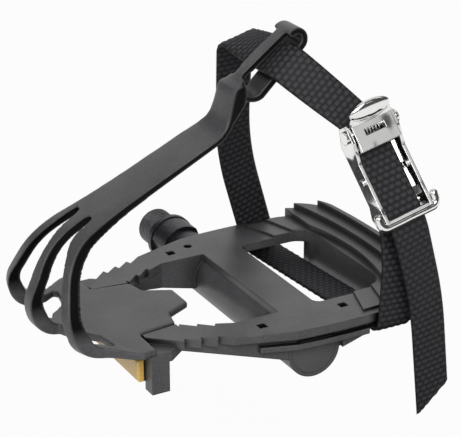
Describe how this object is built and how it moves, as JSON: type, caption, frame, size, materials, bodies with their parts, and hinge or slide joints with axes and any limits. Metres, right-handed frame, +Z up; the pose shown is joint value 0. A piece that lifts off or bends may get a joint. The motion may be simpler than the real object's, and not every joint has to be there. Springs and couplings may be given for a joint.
{
  "type": "toe clip pedal",
  "caption": "Left bicycle pedal with a moulded cage body, a moulded toe clip that arches over the shoe, and a woven strap with a sprung cam buckle.",
  "frame": {"origin": "on the spindle axis, at the shoulder that seats on the crank arm", "axes": "+X forward to the toe, +Y outboard along the spindle, +Z up with the clip over the platform"},
  "size_m": [0.138, 0.1328, 0.1316],
  "materials": {
    "spindle_steel": "black oxide",
    "bearing_steel": "polished",
    "zinc_steel": "zinc plated",
    "seal_rubber": "matt",
    "black_resin": "satin moulded",
    "amber_acrylic": "gloss prism lens",
    "reflector_tray": "matt",
    "black_webbing": "woven nylon",
    "plated_steel": "bright nickel plate",
    "spring_steel": "drawn wire"
  },
  "bodies": {
    "spindle_group": {"spindle": "spindle_steel", "outboard_cone": "bearing_steel", "lock_washer": "zinc_steel", "lock_nut": "zinc_steel"},
    "pedal_group": {"inboard_cup": "bearing_steel", "outboard_cup": "bearing_steel", "inboard_balls": "bearing_steel", "outboard_balls": "bearing_steel", "clip_screws": "zinc_steel", "clip_washers": "zinc_steel", "inboard_seal": "seal_rubber", "dust_cap": "black_resin", "pedal_body": "black_resin", "toe_clip": "black_resin", "front_reflector_lens": "amber_acrylic", "rear_reflector_lens": "amber_acrylic", "front_reflector_back": "reflector_tray", "rear_reflector_back": "reflector_tray", "strap": "black_webbing", "buckle_frame": "plated_steel", "buckle_pin": "plated_steel", "buckle_spring": "spring_steel", "buckle_rivet": "plated_steel"},
    "lever_group": {"buckle_lever": "plated_steel"}
  },
  "joints": [
    {"name": "pedal_spin", "type": "hinge", "parent": "spindle_group", "child": "pedal_group", "pos_m": [0, 0.0668, 0], "axis": [0, 1, 0], "continuous": true},
    {"name": "lever_press", "type": "hinge", "parent": "pedal_group", "child": "lever_group", "pos_m": [-0.02264, 0.10254, 0.07474], "axis": [0.9755, 0.0178, -0.2192], "range_deg": [0, 25], "stiffness_Nm_per_rad": 0.08, "springref_deg": -20.05}
  ]
}
